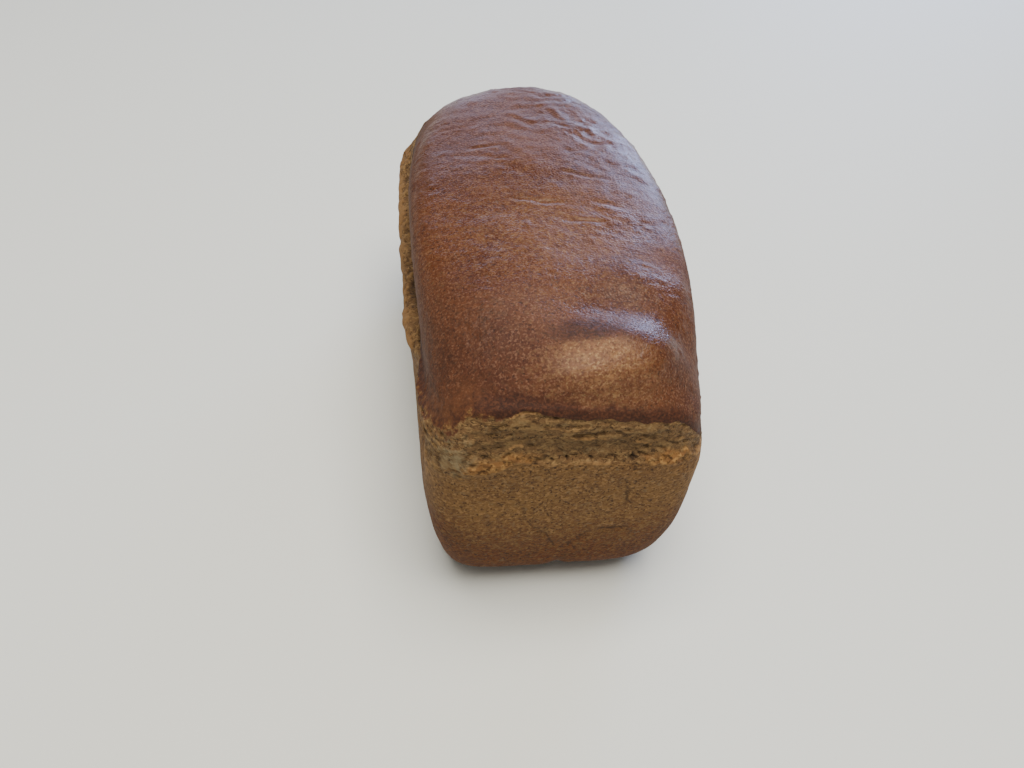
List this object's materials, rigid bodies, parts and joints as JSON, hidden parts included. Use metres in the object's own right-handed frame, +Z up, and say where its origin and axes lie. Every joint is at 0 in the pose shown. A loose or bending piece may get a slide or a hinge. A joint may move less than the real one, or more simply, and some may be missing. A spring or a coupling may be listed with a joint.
{
  "type": "tin loaf",
  "caption": "Whole unsliced tin loaf of brown bread: a tapered body with a flat base, a rough torn band and a domed glossy crust, for resting on a flat surface.",
  "frame": {"origin": "centre of the loaf's footprint, on the surface it stands on", "axes": "+Z up, +Y along the loaf's length from the near end to the far end, +X across its width"},
  "size_m": [0.12, 0.238, 0.133],
  "materials": {
    "baked_crust": "satin reddish-brown crust on top, matte tan-brown tin sides and torn band"
  },
  "bodies": {
    "root": {"loaf": "baked_crust"}
  },
  "joints": []
}
